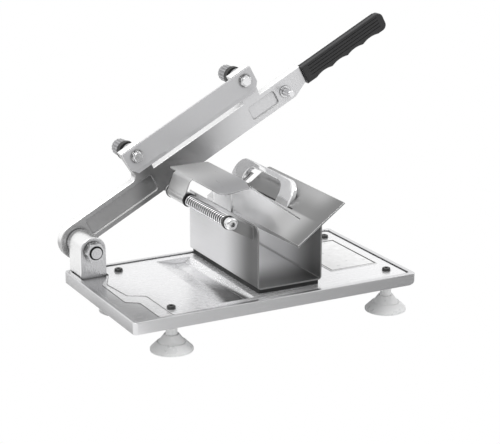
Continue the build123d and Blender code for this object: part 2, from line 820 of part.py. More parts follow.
with BuildPart() as grip_back:
    with BuildSketch(arm_plane(arm_back_y + grip_back_thickness)) as grip_back_outline:
        with BuildLine():
            Polyline(
                (tang_start_s, grip_back_low), (tang_end_s - grip_back_inset, grip_back_low),
                (tang_end_s - grip_back_inset, grip_back_high), (tang_start_s, grip_back_high),
                close=True)
        make_face()
        fillet(grip_back_outline.vertices(), grip_back_inset)
    extrude(amount=grip_back_thickness)
    fillet(grip_back.faces().sort_by(Axis.Y)[-1].edges(), grip_edge_radius)
    with BuildSketch(arm_plane(arm_back_y + grip_back_thickness)):
        with Locations(*grip_screw_spots):
            Circle(grip_screw_radius + loose_fit)
    extrude(amount=grip_back_thickness, mode=Mode.SUBTRACT)
    with BuildSketch(arm_plane(arm_back_y + grip_back_thickness)):
        with Locations(*grip_screw_spots):
            Circle(grip_screw_head_radius + loose_fit)
    extrude(amount=grip_screw_head, mode=Mode.SUBTRACT)
save(grip_back, "grip_back")

grip_head_y = arm_back_y + grip_back_thickness
grip_screw_end_y = tang_face_y - grip_screw_reach
with BuildPart() as grip_screws:
    with BuildSketch(arm_plane(grip_head_y)):
        with Locations(*grip_screw_spots):
            Circle(grip_screw_head_radius)
    extrude(amount=grip_screw_head)
    with BuildSketch(arm_plane(grip_head_y)):
        with Locations(*grip_screw_spots):
            Circle(grip_screw_radius)
    extrude(amount=grip_head_y - grip_screw_end_y)
save(grip_screws, "grip_screws")

# Blade: a flat strip with two cut corners and a bevel along its lower edge
with BuildPart() as blade:
    with BuildSketch(arm_plane(blade_back_y)):
        with BuildLine():
            Polyline(
                (ear_left_s + blade_corner_s, blade_low), (ear_right_s - blade_corner_s, blade_low),
                (ear_right_s, blade_low + blade_corner_t), (ear_right_s, blade_high),
                (ear_left_s, blade_high), (ear_left_s, blade_low + blade_corner_t), close=True)
        make_face()
        with Locations(*bolt_spots):
            Circle(bolt_radius + seat_fit, mode=Mode.SUBTRACT)
    extrude(amount=blade_sheet)
    bevel_x, bevel_z = arm_point(ear_left_s, blade_low)
    with BuildSketch(Plane(
            origin=(bevel_x, blade_front_y, bevel_z), x_dir=(0, 1, 0), z_dir=arm_direction)):
        with BuildLine():
            Polyline(
                (-cut_overrun, -cut_overrun), (blade_sheet - blade_edge_land, -cut_overrun),
                (blade_sheet - blade_edge_land, 0), (0, blade_bevel), (-cut_overrun, blade_bevel),
                close=True)
        make_face()
    extrude(amount=ear_right_s - ear_left_s, mode=Mode.SUBTRACT)
save(blade, "blade")

# Blade bolts: washer face, hex and dome in one, with a shank through to the knobs
bolt_washer_y = blade_front_y - bolt_washer_sheet
bolt_head_y = bolt_washer_y - bolt_head_height
with BuildPart() as blade_bolts:
    with BuildSketch(arm_plane(blade_front_y)):
        with Locations(*bolt_spots):
            Circle(bolt_washer_radius)
    extrude(amount=bolt_washer_sheet)
    with BuildSketch(arm_plane(bolt_washer_y)):
        with Locations(*bolt_spots):
            RegularPolygon(bolt_head_across / 2, 6, major_radius=False)
    extrude(amount=bolt_head_height)
    with BuildSketch(arm_plane(bolt_head_y)):
        with Locations(*bolt_spots):
            Circle(bolt_dome_radius)
    extrude(amount=bolt_dome_height)
    fillet(blade_bolts.faces().group_by(Axis.Y)[0].edges(), bolt_dome_height / 2)
    with BuildSketch(arm_plane(blade_front_y + bolt_reach)):
        with Locations(*bolt_spots):
            Circle(bolt_radius)
    extrude(amount=bolt_reach)
save(blade_bolts, "blade_bolts")

with BuildPart() as blade_lock_nuts:
    with BuildSketch(arm_plane(blade_back_y + lock_nut_height)):
        with Locations(*bolt_spots):
            RegularPolygon(lock_nut_across / 2, 6, major_radius=False)
            Circle(bolt_radius + seat_fit, mode=Mode.SUBTRACT)
    extrude(amount=lock_nut_height)
save(blade_lock_nuts, "blade_lock_nuts")

# Adjusting knobs: a neck in the ear, a collar, a sleeve, a black ring and a fluted grip
neck_front_y = pocket_floor_y - knob_neck_out
clip_back_y = pocket_floor_y - clip_play
collar_front_y = arm_back_y + clip_play
sleeve_start_y = collar_front_y + knob_collar
ring_front_y = sleeve_start_y + knob_sleeve
ring_back_y = ring_front_y + knob_ring_width
knob_end_y = ring_back_y + knob_grip_length
clip_inner_radius = knob_neck_radius - clip_groove_depth
for knob_name, (knob_s, knob_t) in zip(["left", "right"], bolt_spots):
    knob_x, knob_z = arm_point(knob_s, knob_t)
    with BuildPart() as knob:
        with BuildSketch(turned_plane(knob_x, knob_z)):
            with BuildLine():
                Polyline(
                    (neck_front_y, 0), (neck_front_y, knob_neck_radius),
                    (clip_back_y - clip_sheet, knob_neck_radius),
                    (clip_back_y - clip_sheet, clip_inner_radius),
                    (clip_back_y, clip_inner_radius), (clip_back_y, knob_neck_radius),
                    (collar_front_y, knob_neck_radius), (collar_front_y, knob_collar_radius),
                    (sleeve_start_y, knob_collar_radius), (sleeve_start_y, knob_sleeve_radius),
                    (ring_back_y, knob_sleeve_radius), (ring_back_y, knob_grip_radius),
                    (knob_end_y, knob_grip_radius), (knob_end_y, 0), close=True)
            make_face()
        revolve(axis=turned_axis(knob_x, knob_z))
        fillet(knob.faces().sort_by(Axis.Y)[-1].edges(), knob_end_radius)
        with BuildSketch(spot_plane(knob_x, knob_end_y, knob_z)):
            with PolarLocations(knob_grip_radius, knob_flutes):
                Circle(knob_flute_radius)
        extrude(amount=knob_grip_length - knob_end_radius, mode=Mode.SUBTRACT)
        with BuildSketch(spot_plane(knob_x, neck_front_y, knob_z)):
            Circle(bolt_radius + thread_fit)
        extrude(amount=-knob_bore_depth, mode=Mode.SUBTRACT)
    save(knob, "knob_" + knob_name)
    with BuildPart() as knob_ring:
        with BuildSketch(spot_plane(knob_x, ring_back_y, knob_z)):
            Circle(knob_ring_radius)
            Circle(knob_sleeve_radius + seat_fit, mode=Mode.SUBTRACT)
        extrude(amount=knob_ring_width)
    save(knob_ring, "knob_" + knob_name + "_ring")
    with BuildPart() as knob_clip:
        with BuildSketch(spot_plane(knob_x, clip_back_y, knob_z)):
            Circle(clip_radius)
            Circle(clip_inner_radius + seat_fit, mode=Mode.SUBTRACT)
            with Locations((0, -clip_radius)):
                Rectangle(clip_gap, 2 * clip_radius, mode=Mode.SUBTRACT)
        extrude(amount=clip_sheet)
    save(knob_clip, "knob_" + knob_name + "_clip")

# Pad and trough: an open channel on a rubber pad, its four studs through the base
with BuildPart() as trough_pad:
    with BuildSketch(Plane.XY.offset(panel_top_z)):
        with Locations((trough_mid_x, trough_mid_y)):
            Rectangle(
                trough_width - 2 * pad_inset, trough_back - trough_front - 2 * pad_inset)
            with GridLocations(pad_stud_spacing_x, pad_stud_spacing_y, 2, 2):
                Circle(pad_stud_radius + loose_fit, mode=Mode.SUBTRACT)
    extrude(amount=pad_thickness)
save(trough_pad, "trough_pad")

# The trough carries two ears on its left wall, which hold the guide rod, and studs below
pad_nut_low_z = pan_under_z - pad_nut_height
rod_ear_root_z = trough_top_z - rod_ear_root_top
with BuildPart() as trough:
    with BuildSketch(front_plane(trough_back)) as trough_section:
        with Locations((trough_mid_x, trough_low_z + trough_height / 2)):
            Rectangle(trough_width, trough_height)
        fillet(trough_section.vertices().group_by(Axis.Y)[0], trough_bend_radius)
        with Locations((trough_mid_x, trough_floor_z + trough_height / 2)):
            Rectangle(trough_width - 2 * trough_sheet, trough_height, mode=Mode.SUBTRACT)
    extrude(amount=trough_back - trough_front)
    wall_tops = trough.edges().filter_by(Axis.X).group_by(Axis.Z)[-1]
    fillet(wall_tops.group_by(Axis.Y)[0], trough_top_radius)
    with BuildSketch(
            front_plane(rod_ear_front_y), front_plane(rod_ear_back_y + rod_ear_sheet)) as ears:
        with BuildLine():
            ear_round = CenterArc((rod_x, rod_z), rod_ear_radius, 45, 180)
            Polyline(
                ear_round @ 1, (trough_left, rod_ear_root_z - rod_ear_root_drop),
                (trough_left, rod_ear_root_z), ear_round @ 0)
        make_face()
        with Locations((rod_x, rod_z)):
            Circle(rod_radius + running_fit, mode=Mode.SUBTRACT)
    extrude(amount=rod_ear_sheet)
    with BuildSketch(Plane.XY.offset(trough_floor_z)):
        with Locations((trough_mid_x, trough_mid_y)):
            with GridLocations(pad_stud_spacing_x, pad_stud_spacing_y, 2, 2):
                Circle(pad_stud_radius)
    extrude(amount=pad_nut_low_z - pad_stud_end - trough_floor_z)
save(trough, "trough")

with BuildPart() as trough_nuts:
    with BuildSketch(Plane.XY.offset(pad_nut_low_z)):
        with Locations((trough_mid_x, trough_mid_y)):
            with GridLocations(pad_stud_spacing_x, pad_stud_spacing_y, 2, 2):
                RegularPolygon(pad_nut_across / 2, 6, major_radius=False)
                Circle(pad_stud_radius + thread_fit, mode=Mode.SUBTRACT)
    extrude(amount=pad_nut_height)
save(trough_nuts, "trough_nuts")

# Guide rod with a domed front nut, a dark washer and a back nut
rod_washer_back_y = rod_ear_front_y - rod_ear_sheet
rod_nut_back_y = rod_washer_back_y - rod_washer_sheet
rod_front_y = rod_nut_back_y - rod_nut_bore_depth
rod_back_nut_y = rod_ear_back_y + rod_ear_sheet
rod_back_y = rod_back_nut_y + rod_back_nut_height
with BuildPart() as guide_rod:
    with BuildSketch(spot_plane(rod_x, rod_back_y, rod_z)):
        Circle(rod_radius)
    extrude(amount=rod_back_y - rod_front_y)
save(guide_rod, "guide_rod")

with BuildPart() as rod_front_washer:
    with BuildSketch(spot_plane(rod_x, rod_washer_back_y, rod_z)):
        Circle(rod_washer_radius)
        Circle(rod_radius + running_fit, mode=Mode.SUBTRACT)
    extrude(amount=rod_washer_sheet)
save(rod_front_washer, "rod_front_washer")

with BuildPart() as rod_front_nut:
    with BuildSketch(spot_plane(rod_x, rod_nut_back_y, rod_z)):
        Circle(rod_nut_radius)
    extrude(amount=rod_nut_length)
    fillet(rod_front_nut.faces().sort_by(Axis.Y)[0].edges(), rod_nut_edge_radius)
    with BuildSketch(spot_plane(rod_x, rod_nut_back_y - rod_nut_length, rod_z)):
        RegularPolygon(rod_nut_socket_across / 2, 6, major_radius=False)
    extrude(amount=-rod_nut_socket_depth, mode=Mode.SUBTRACT)
    with BuildSketch(spot_plane(rod_x, rod_nut_back_y, rod_z)):
        Circle(rod_radius + thread_fit)
    extrude(amount=rod_nut_bore_depth, mode=Mode.SUBTRACT)
save(rod_front_nut, "rod_front_nut")

with BuildPart() as rod_back_nut:
    with BuildSketch(spot_plane(rod_x, rod_back_y, rod_z)):
        RegularPolygon(rod_back_nut_across / 2, 6, major_radius=False)
        Circle(rod_radius + thread_fit, mode=Mode.SUBTRACT)
    extrude(amount=rod_back_nut_height)
save(rod_back_nut, "rod_back_nut")

# Feed spring: one wire wound on a helix between the front ear and the front bush
spring_front_y = rod_ear_front_y + seat_gap + spring_wire / 2
spring_back_y = sleeve_front_y - slide_flange - seat_gap - spring_wire / 2
spring_pitch = (spring_back_y - spring_front_y) / spring_turns
spring_slope = spring_pitch / (2 * pi * spring_radius)


def spring_point(turn):
    """A point of the wire's middle after a number of turns."""
    return Vector(
        rod_x + spring_radius * cos(2 * pi * turn), spring_front_y + spring_pitch * turn,
        rod_z + spring_radius * sin(2 * pi * turn))


def spring_heading(turn):
    """The wire's direction there."""
    return Vector(-sin(2 * pi * turn), spring_slope, cos(2 * pi * turn)).normalized()


def tangent_pair(start, end, start_way, end_way):
    """The joint and its direction, for two arcs that leave start and reach end along their ways."""
    span = end - start
    both = start_way + end_way
    square = 2 * start_way.dot(end_way) - 2
    reach = (span.dot(both) - sqrt(span.dot(both) ** 2 - square * span.dot(span))) / square
    first = start + start_way * reach
    last = end - end_way * reach
    return (first + last) / 2, (last - first).normalized()


spring_halves = 2 * spring_turns
with BuildPart() as feed_spring:
    with BuildLine() as spring_wire_line:
        Line(spring_point(0) - spring_heading(0) * spring_wire, spring_point(0))
        for half in range(spring_halves):
            arc_start = spring_point(half / 2)
            arc_end = spring_point((half + 1) / 2)
            arc_joint, joint_way = tangent_pair(
                arc_start, arc_end, spring_heading(half / 2), spring_heading((half + 1) / 2))
            TangentArc(arc_start, arc_joint, tangent=spring_heading(half / 2))
            TangentArc(arc_joint, arc_end, tangent=joint_way)
        Line(
            spring_point(spring_turns),
            spring_point(spring_turns) + spring_heading(spring_turns) * spring_wire)
    with BuildSketch(Plane(
            origin=spring_point(0) - spring_heading(0) * spring_wire,
            z_dir=spring_heading(0))):
        Circle(spring_wire / 2)
    sweep()
save(feed_spring, "feed_spring")

spring_steps = 24
spring_near = [
    spring_point(1 + step / spring_steps)
    for step in range(-spring_steps // 2, spring_steps // 2 + 1)]
spring_gap = min((point - spring_point(0)).length for point in spring_near) - spring_wire
print("feed spring: least gap to itself", round(spring_gap, 2), "mm, volume",
      round(feed_spring.part.volume, 1))

# Slide bushes: flanged bushes that run on the rod, one in each end of the press's sleeve
for bush_name, bush_flange_y, bush_way in (
        ("front", sleeve_front_y, 1), ("back", sleeve_back_y, -1)):
    with BuildPart() as slide_bush:
        with BuildSketch(spot_plane(rod_x, bush_flange_y, rod_z)):
            Circle(slide_radius)
        extrude(amount=-bush_way * slide_bush_length)
        with BuildSketch(spot_plane(rod_x, bush_flange_y, rod_z)):
            Circle(slide_flange_radius)
        extrude(amount=bush_way * slide_flange)
        with BuildSketch(spot_plane(rod_x, bush_flange_y + bush_way * slide_bush_length, rod_z)):
            Circle(rod_radius + running_fit)
        extrude(amount=bush_way * (slide_bush_length + slide_flange), mode=Mode.SUBTRACT)
    save(slide_bush, "slide_bush_" + bush_name)

# Where the press plate lies, and what fastens it
plate_low_x = rod_x + hood_reach_right
plate_low_z = rod_z - plate_drop
plate_turn = radians(plate_angle)
plate_plane = Plane(
    origin=(plate_low_x, 0, plate_low_z), x_dir=(cos(plate_turn), 0, sin(plate_turn)),
    z_dir=(-sin(plate_turn), 0, cos(plate_turn)))
handle_mid_y = handle_front_y + handle_length / 2
handle_foot_reach = (handle_length - handle_foot) / 2
handle_screw_spots = [
    (handle_screw_w, handle_mid_y - handle_foot_reach),
    (handle_screw_w, handle_mid_y + handle_foot_reach)]

# Press hood: a sheet rolled round the bushes, over the trough's left wall and down again
sleeve_mid_radius = slide_radius + running_fit + press_sheet / 2
hood_top_z = rod_z + hood_rise
hood_mid_z = hood_top_z - press_sheet / 2
hood_low_z = rod_z - hood_web_drop
hood_right_x = rod_x + hood_reach_right + hood_overhang
with BuildPart() as press_hood:
    with BuildSketch(front_plane(sleeve_back_y)):
        with Locations((rod_x, rod_z)):
            Circle(sleeve_mid_radius + press_sheet / 2)
        with BuildLine() as hood_fold:
            FilletPolyline(
                (rod_x - sleeve_mid_radius, rod_z),
                (rod_x + hood_shoulder_out, rod_z + hood_shoulder_rise),
                (rod_x + hood_reach_left, hood_mid_z),
                (rod_x + hood_reach_right / 2, hood_mid_z), radius=hood_bend_radius)
        trace(line_width=press_sheet)
        with Locations((rod_x, rod_z)):
            Circle(sleeve_mid_radius - press_sheet / 2, mode=Mode.SUBTRACT)
    extrude(amount=sleeve_length)
    with BuildSketch(Plane.XY.offset(hood_top_z)) as hood_top:
        with BuildLine():
            Polyline(
                (rod_x + hood_reach_left, hood_back_y), (hood_right_x, hood_back_y),
                (hood_right_x, hood_side_front_y), (hood_right_x - hood_nose_in, hood_nose_y),
                (rod_x + hood_reach_left, hood_front_y), close=True)
        make_face()
        fillet(hood_top.vertices().sort_by(Axis.Y)[0], hood_front_radius)
        fillet(hood_top.vertices().group_by(Axis.Y)[-1], hood_corner_radius)
    extrude(amount=-press_sheet)
    with BuildSketch(side_plane(rod_x + hood_reach_right)):
        with BuildLine():
            Polyline(
                (hood_web_front_y, hood_low_z), (hood_web_back_y, hood_low_z),
                (hood_web_back_y, hood_top_z), (hood_web_front_y, hood_top_z), close=True)
        make_face()
    extrude(amount=-press_sheet)
save(press_hood, "press_hood")

# Press plate: a sloping sheet with a notched back, a slit, and a lip along its lower edge
with BuildPart() as press_plate:
    with BuildSketch(plate_plane) as plate_outline:
        with BuildLine():
            Polyline(
                (0, plate_front_y), (plate_width, plate_front_y), (plate_width, plate_back_y),
                (plate_notch_w, plate_back_y), (plate_notch_w, plate_back_y + plate_notch),
                (plate_tongue_w, plate_back_y + plate_notch),
                (plate_tongue_w, plate_back_y + plate_tongue),
                (0, plate_back_y + plate_tongue), close=True)
        make_face()
        notch_corners = plate_outline.vertices().filter_by_position(
            Axis.X, plate_notch_w, plate_notch_w)
        fillet(notch_corners, plate_notch_radius)
        right_corners = plate_outline.vertices().group_by(Axis.X)[-1]
        fillet(right_corners.sort_by(Axis.Y)[-1], plate_corner_radius)
        with BuildLine():
            Line((slit_front_w, slit_front_y), (slit_back_w, slit_back_y))
        trace(line_width=slit_width, mode=Mode.SUBTRACT)
        with Locations(*handle_screw_spots):
            Circle(handle_screw_radius + loose_fit, mode=Mode.SUBTRACT)
    extrude(amount=-press_sheet)
    with BuildSketch(side_plane(plate_low_x)):
        with BuildLine():
            Polyline(
                (plate_front_y, plate_low_z), (plate_back_y + plate_tongue, plate_low_z),
                (plate_back_y + plate_tongue, plate_low_z - lip_back_depth),
                (plate_front_y, plate_low_z - lip_front_depth), close=True)
        make_face()
    extrude(amount=press_sheet)
save(press_plate, "press_plate")

# Strap handle: a bow that leans away from the hinge side, its feet cut to the plate's slope
lean = radians(handle_lean)
handle_side = (cos(lean), 0, -sin(lean))
handle_base = plate_plane.from_local_coords(Vector(handle_w, handle_mid_y, 0))
with BuildPart() as strap_handle:
    with BuildSketch(Plane(origin=handle_base, x_dir=(0, 1, 0), z_dir=handle_side)) as bow:
        Rectangle(handle_length, 2 * handle_height)
        fillet(bow.vertices().group_by(Axis.Y)[-1], handle_corner_radius)
        with BuildSketch(mode=Mode.SUBTRACT) as bow_inside:
            with Locations((0, -handle_bar)):
                Rectangle(handle_length - 2 * handle_foot, 2 * handle_height)
            fillet(bow_inside.vertices().group_by(Axis.Y)[-1], handle_inner_radius)
    extrude(amount=handle_width / 2, both=True)
    for bow_face in strap_handle.faces().filter_by(Axis(handle_base, handle_side)):
        fillet(bow_face.edges(), handle_edge_radius)
    split(bisect_by=plate_plane, keep=Keep.TOP)
    with BuildSketch(plate_plane):
        with Locations(*handle_screw_spots):
            Circle(handle_screw_radius + thread_fit)
    extrude(amount=handle_screw_reach, mode=Mode.SUBTRACT)
save(strap_handle, "strap_handle")

with BuildPart() as handle_screws:
    with BuildSketch(plate_plane.offset(-press_sheet)):
        with Locations(*handle_screw_spots):
            Circle(handle_screw_radius)
    extrude(amount=press_sheet + handle_screw_reach)
    with BuildSketch(plate_plane.offset(-press_sheet)):
        with Locations(*handle_screw_spots):
            Circle(handle_screw_head_radius)
    extrude(amount=-handle_screw_head)
save(handle_screws, "handle_screws")
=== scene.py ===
import math
from collections import namedtuple

import bpy
from mathutils import Matrix, Vector

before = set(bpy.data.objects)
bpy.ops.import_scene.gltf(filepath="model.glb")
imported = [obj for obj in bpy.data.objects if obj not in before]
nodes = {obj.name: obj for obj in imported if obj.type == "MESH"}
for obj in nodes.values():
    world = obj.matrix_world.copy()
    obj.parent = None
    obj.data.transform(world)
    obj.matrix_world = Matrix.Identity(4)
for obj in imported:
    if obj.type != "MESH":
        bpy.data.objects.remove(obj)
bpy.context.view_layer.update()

# Directions at rest: the pivot is on the left and the label plate on the right
TO_RIGHT, TO_LEFT = (1, 0, 0), (-1, 0, 0)
TO_BACK, TO_FRONT = (0, 1, 0), (0, -1, 0)
UPWARD = (0, 0, 1)
ARM_SLOPE = math.radians(28)
PLATE_SLOPE = math.radians(35.7)
ABOVE_ARM = (-math.sin(ARM_SLOPE), 0, math.cos(ARM_SLOPE))
ARM_TURN = (0, -ARM_SLOPE, 0)
UP_PLATE = (math.cos(PLATE_SLOPE), 0, math.sin(PLATE_SLOPE))

# The cosine from which a surface faces a direction a little, and from which it does fully
FACING_BEGINS = 0.45
FACING_FULL = 0.7

# Edge lines painted in edge_tone, mostly painted highlights: the cosine of the turn where the
# painted line begins and is full, and its share of the colour
EDGE_SAMPLES = 6
EDGE_BEGINS = 0.99
EDGE_FULL = 0.88
EDGE_SHARE = 0.8

# Corners are darkened with painted shade: how open a point is where the painted shade is full, and
# where it begins
CORNER_SAMPLES = 16
SHADE_FULL = 0.35
SHADE_BEGINS = 0.9

# How a noise is spread over a tone: its middle part takes the whole range
NOISE_LOW = 0.3
NOISE_HIGH = 0.7

# Painted light and shade: a sheet's tone changes to a new one between two places along a direction,
# in metres
Fade = namedtuple("Fade", "way start end tone")


def box_of(name):
    """The lowest and the highest corner of a node's mesh."""
    places = list(zip(*nodes[name].bound_box))
    return Vector([min(line) for line in places]), Vector([max(line) for line in places])


def grey(tone):
    """A colour with the same red, green and blue."""
    return (tone,) * 3


class Tree:
    """A node tree with short ways to add to it."""

    def __init__(self, tree):
        self.tree = tree
        self.tree.nodes.clear()

    def feed(self, socket, value):
        """Link a socket to another node's output or set it to a value. None leaves it alone."""
        if isinstance(value, bpy.types.NodeSocket):
            self.tree.links.new(value, socket)
        elif value is not None:
            socket.default_value = (*value, 1.0) if socket.type == "RGBA" else value

    def feed_all(self, node, *values):
        for socket, value in zip(node.inputs, values):
            self.feed(socket, value)

    def add(self, kind, **inputs):
        """A new node. An input's name has an underscore for each space."""
        node = self.tree.nodes.new(kind)
        for name, value in inputs.items():
            self.feed(node.inputs[name.replace("_", " ")], value)
        return node

    def ramp(self, source, low, high, start, end, easing="LINEAR"):
        """source from low to high becomes start to end, held outside."""
        node = self.add("ShaderNodeMapRange", Value=source, From_Min=low, From_Max=high,
                        To_Min=start, To_Max=end)
        node.interpolation_type = easing
        return node.outputs["Result"]

    def maths(self, operation, a, b=None):
        node = self.add("ShaderNodeMath")
        node.operation = operation
        self.feed_all(node, a, b)
        return node.outputs[0]

    def times(self, a, b):
        return self.maths("MULTIPLY", a, b)

    def dot(self, a, b):
        node = self.add("ShaderNodeVectorMath")
        node.operation = "DOT_PRODUCT"
        self.feed_all(node, a, b)
        return node.outputs["Value"]

    def between(self, source, low, high, blur=0.0002):
        """1 where source is from low to high, with a blur outside them."""
        return self.times(self.ramp(source, low - blur, low, 0, 1),
                          self.ramp(source, high, high + blur, 1, 0))

    def mix(self, factor, a, b):
        """Two colours mixed by factor."""
        node = self.add("ShaderNodeMix")
        node.data_type = "RGBA"
        sockets = {socket.identifier: socket for socket in node.inputs}
        self.feed(sockets["Factor_Float"], factor)
        self.feed(sockets["A_Color"], a)
        self.feed(sockets["B_Color"], b)
        return next(s for s in node.outputs if s.identifier == "Result_Color")

    def blend(self, factor, a, b):
        """Two shaders mixed by factor."""
        node = self.add("ShaderNodeMixShader")
        self.feed_all(node, factor, a, b)
        return node.outputs[0]

    def seen_straight(self):
        """1 where the camera sees a surface itself, or sees it through a clear part."""
        path = self.add("ShaderNodeLightPath")
        return self.maths("MAXIMUM", path.outputs["Is Camera Ray"],
                          path.outputs["Is Transmission Ray"])


class Paint(Tree):
    """A material's node tree, with a principled shader and ways to paint it."""

    def __init__(self, name):
        self.material = bpy.data.materials.new(name)
        self.material.use_nodes = True
        super().__init__(self.material.node_tree)
        self.out = self.add("ShaderNodeOutputMaterial")
        self.shader = self.add("ShaderNodeBsdfPrincipled")
        self.feed(self.out.inputs["Surface"], self.shader.outputs[0])
        coords = self.add("ShaderNodeTexCoord")
        self.place, self.normal = coords.outputs["Object"], coords.outputs["Normal"]

    def set(self, **inputs):
        for name, value in inputs.items():
            self.feed(self.shader.inputs[name.replace("_", " ")], value)

    def linked(self, name):
        """What feeds the shader's input now."""
        return self.shader.inputs[name].links[0].from_socket

    def noise(self, vector, scale, detail=3.0, rough=0.6):
        return self.add("ShaderNodeTexNoise", Vector=vector, Scale=scale, Detail=detail,
                        Roughness=rough).outputs["Fac"]

    def stretched(self, scale, turn):
        """The place on the object, scaled along each axis and then turned."""
        return self.add("ShaderNodeMapping", Vector=self.place, Scale=scale,
                        Rotation=turn).outputs["Vector"]

    def along(self, way):
        """How far a point lies along a direction, in metres."""
        return self.dot(self.place, way)

    def outside(self, way, low, high):
        """How far a point lies outside two places along a direction, below 0 inside them."""
        off_middle = self.maths("SUBTRACT", self.along(way), (low + high) / 2)
        return self.maths("SUBTRACT", self.maths("ABSOLUTE", off_middle), (high - low) / 2)

    def facing(self, way):
        """1 where the surface faces a direction, 0 where it doesn't."""
        return self.ramp(self.dot(self.normal, way), FACING_BEGINS, FACING_FULL, 0, 1)

    def band(self, way, start, end, blur=0.0002):
        """1 between two places along a direction."""
        return self.between(self.along(way), start, end, blur)

    def cover(self, share, tone):
        """Lay a tone over the base colour where share is 1."""
        self.set(Base_Color=self.mix(share, self.linked("Base Color"), grey(tone)))

    def painted_edge_lines(self, width):
        """How near a sharp edge a point lies, as the share of a painted edge line, and the normal
        with that edge rounded.
        """
        rounded = self.add("ShaderNodeBevel", Radius=width)
        rounded.samples = EDGE_SAMPLES
        flat = self.add("ShaderNodeNewGeometry").outputs["True Normal"]
        turn = self.dot(rounded.outputs[0], flat)
        return self.ramp(turn, EDGE_BEGINS, EDGE_FULL, 0, EDGE_SHARE), rounded.outputs[0]

    def corners(self, reach):
        """1 in the open, towards 0 where other surfaces stand close."""
        node = self.add("ShaderNodeAmbientOcclusion", Distance=reach)
        node.samples = CORNER_SAMPLES
        return node.outputs["AO"]

    def bump(self, height, strength, depth=0.0002, normal=None):
        node = self.add("ShaderNodeBump", Height=height, Strength=strength, Distance=depth,
                        Normal=normal)
        self.set(Normal=node.outputs["Normal"])


def steel(name, tone, rough, grain, turn=(0, 0, 0), grain_bump=0.05, smear=0.05, edge=0.0005,
          shade_reach=0.004, shade_tone=0.3, edge_tone=0.95, fades=(), metal=1.0, uneven=0.2):
    """Ground or rolled stainless steel. grain is the scale of the scratches along each axis. edge is
    the width of the line painted along its edges in edge_tone, mostly a painted highlight; the two
    arguments after edge give the reach and tone of the painted shade in corners. The fades of
    painted light and shade are laid on in turn. A blasted or frosted sheet has a lower metal share.
    smear is how much its tone varies, and uneven how much its roughness does."""
    g = Paint(name)
    scratches = g.noise(g.stretched(grain, turn), scale=1.0, detail=4.0, rough=0.7)
    clouds = g.noise(g.place, scale=28.0, detail=4.0)
    fine = g.noise(g.place, scale=420.0, detail=2.0, rough=0.5)
    marks = g.maths("ADD", g.times(scratches, 0.7), g.times(clouds, 0.3))
    low = tuple(t * (1 - smear) for t in tone)
    high = tuple(min(t * (1 + smear), 1.0) for t in tone)
    body = g.mix(g.ramp(marks, NOISE_LOW, NOISE_HIGH, 0, 1), low, high)
    for fade in fades:
        share = g.ramp(g.along(fade.way), fade.start, fade.end, 0, 1, easing="SMOOTHSTEP")
        body = g.mix(share, body, grey(fade.tone))
    # Lines painted along sharp edges in edge_tone, mostly painted highlights
    edge_line_share, round_normal = g.painted_edge_lines(edge)
    # Painted shade in corners, where other surfaces stand close
    corner_shade = g.ramp(g.corners(shade_reach), SHADE_FULL, SHADE_BEGINS, 1, 0)
    body = g.mix(corner_shade, body, tuple(t * shade_tone for t in tone))
    g.set(Base_Color=g.mix(edge_line_share, body, grey(edge_tone)), Metallic=metal,
          Roughness=g.ramp(marks, NOISE_LOW, NOISE_HIGH, rough * (1 - uneven), rough * (1 + uneven)))
    g.bump(g.maths("ADD", scratches, g.times(fine, 0.3)), grain_bump, normal=round_normal)
    return g


def plain(name, tone, rough, spots=160.0, bump=0.1, depth=0.0002):
    """A moulded or painted material with a fine skin and slightly uneven gloss."""
    g = Paint(name)
    skin = g.noise(g.place, scale=spots * 8)
    clouds = g.noise(g.place, scale=spots)
    low, high = tuple(t * 0.9 for t in tone), tuple(min(t * 1.1, 1.0) for t in tone)
    g.set(Base_Color=g.mix(g.ramp(clouds, NOISE_LOW, NOISE_HIGH, 0, 1), low, high),
          Roughness=g.ramp(clouds, NOISE_LOW, NOISE_HIGH, rough * 0.85, rough * 1.2))
    g.bump(skin, bump, depth)
    return g


# Scales of the scratches along each axis: a low one makes them long along it
GRAIN_X, GRAIN_Y, GRAIN_Z = (30, 900, 900), (900, 30, 900), (900, 900, 30)
TURNED = (900, 60, 900)
POLISHED = (400, 400, 400)

# Base: painted shade darkens the panel's drip well towards its floor, a little more to the front
WELL_DOWN = (0, -0.05, -1)
pan = steel("pan_steel", (0.74, 0.74, 0.75), 0.24, GRAIN_X, shade_reach=0.003)
panel = steel("panel_steel", (0.93, 0.93, 0.94), 0.26, GRAIN_X, grain_bump=0.02, smear=0.02,
              edge=0.001, shade_reach=0.002, shade_tone=0.45, metal=0.7,
              fades=[Fade(WELL_DOWN, start=-0.0402, end=-0.0372, tone=0.10)])

# Two dark lines of painted shade on the edge of the panel's wave
LINE_BLUR = 0.00004
UPPER_LINE = (0.04416, 0.04462)
LOWER_LINE = (0.04340, 0.04404)
WAVE_LEFT, WAVE_RIGHT = -0.112, -0.110
wave = panel.ramp(panel.along(TO_RIGHT), WAVE_LEFT, WAVE_RIGHT, 1, 0)
panel.cover(panel.times(wave, panel.band(UPWARD, *UPPER_LINE, LINE_BLUR)), 0.06)
panel.cover(panel.times(wave, panel.band(UPWARD, *LOWER_LINE, LINE_BLUR)), 0.12)

# Bare label plate with a dark line a little inside its border
LINE_OUT, LINE_IN = 0.0012, 0.0027
label_low, label_high = box_of("label_plate")
label = plain("label_paint", grey(0.88), 0.3, spots=90.0, bump=0.03)
from_border = label.maths("MAXIMUM", label.outside(TO_RIGHT, label_low.x, label_high.x),
                          label.outside(TO_BACK, label_low.y, label_high.y))
label.cover(label.between(from_border, -LINE_IN, -LINE_OUT), 0.01)

# Suction feet of milky plastic
CUP_DEPTH = 0.004
cup = plain("cup_plastic", (0.97, 0.98, 0.98), 0.3, spots=60.0, bump=0.05)
cup.set(Transmission_Weight=0.15, IOR=1.1, Subsurface_Weight=0.3, Subsurface_Radius=(CUP_DEPTH,) * 3)
